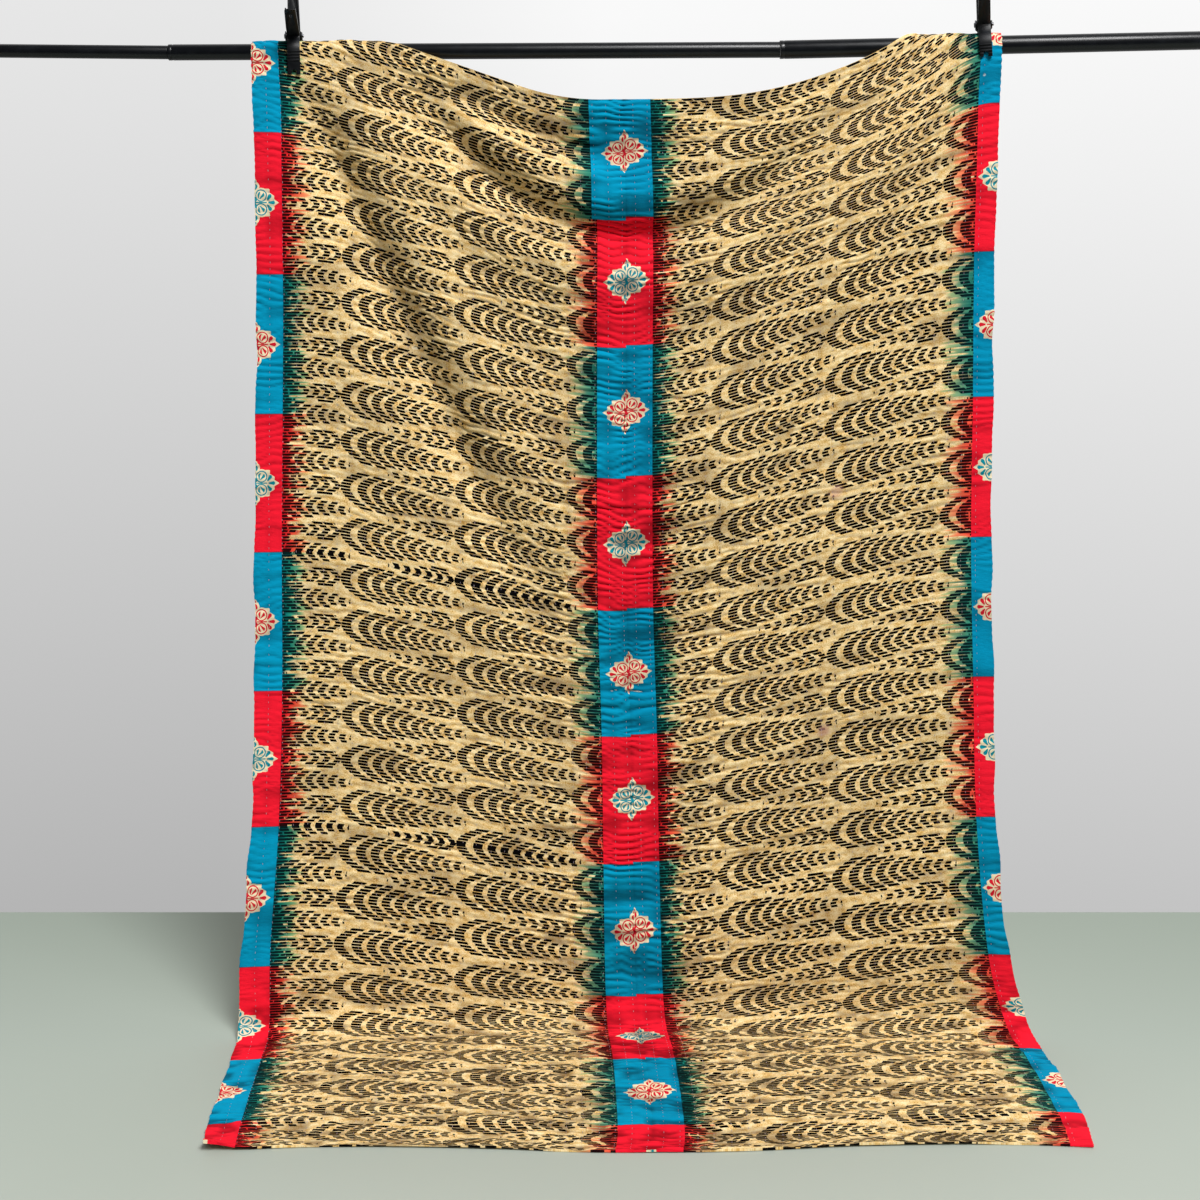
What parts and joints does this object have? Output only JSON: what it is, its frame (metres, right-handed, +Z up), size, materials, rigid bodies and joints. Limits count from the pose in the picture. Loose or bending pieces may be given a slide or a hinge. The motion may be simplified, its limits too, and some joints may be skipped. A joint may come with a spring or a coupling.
{
  "type": "kantha quilt clamped over a telescopic rod",
  "caption": "Hand-quilted cotton cover of joined printed sari lengths, hung over a telescopic rod by spring clamps, with its lower end laid forward on the floor.",
  "frame": {"origin": "on the floor, under the middle of the overall box", "axes": "+X along the rod to the viewer's right, +Y away from the viewer, +Z up"},
  "size_m": [2.1098, 0.5132, 1.7918],
  "materials": {
    "quilted_cotton": "matte",
    "rod": "satin",
    "lever": "matte",
    "clamp_steel": "satin"
  },
  "bodies": {
    "root": {"quilt_left_panel": "quilted_cotton", "quilt_right_panel": "quilted_cotton", "rod_left_section": "rod", "rod_middle_section": "rod", "rod_right_section": "rod", "clamp_left_front_lever": "lever", "clamp_left_back_lever": "lever", "clamp_left_pin": "clamp_steel", "clamp_left_spring": "clamp_steel", "clamp_right_front_lever": "lever", "clamp_right_back_lever": "lever", "clamp_right_pin": "clamp_steel", "clamp_right_spring": "clamp_steel"}
  },
  "joints": []
}
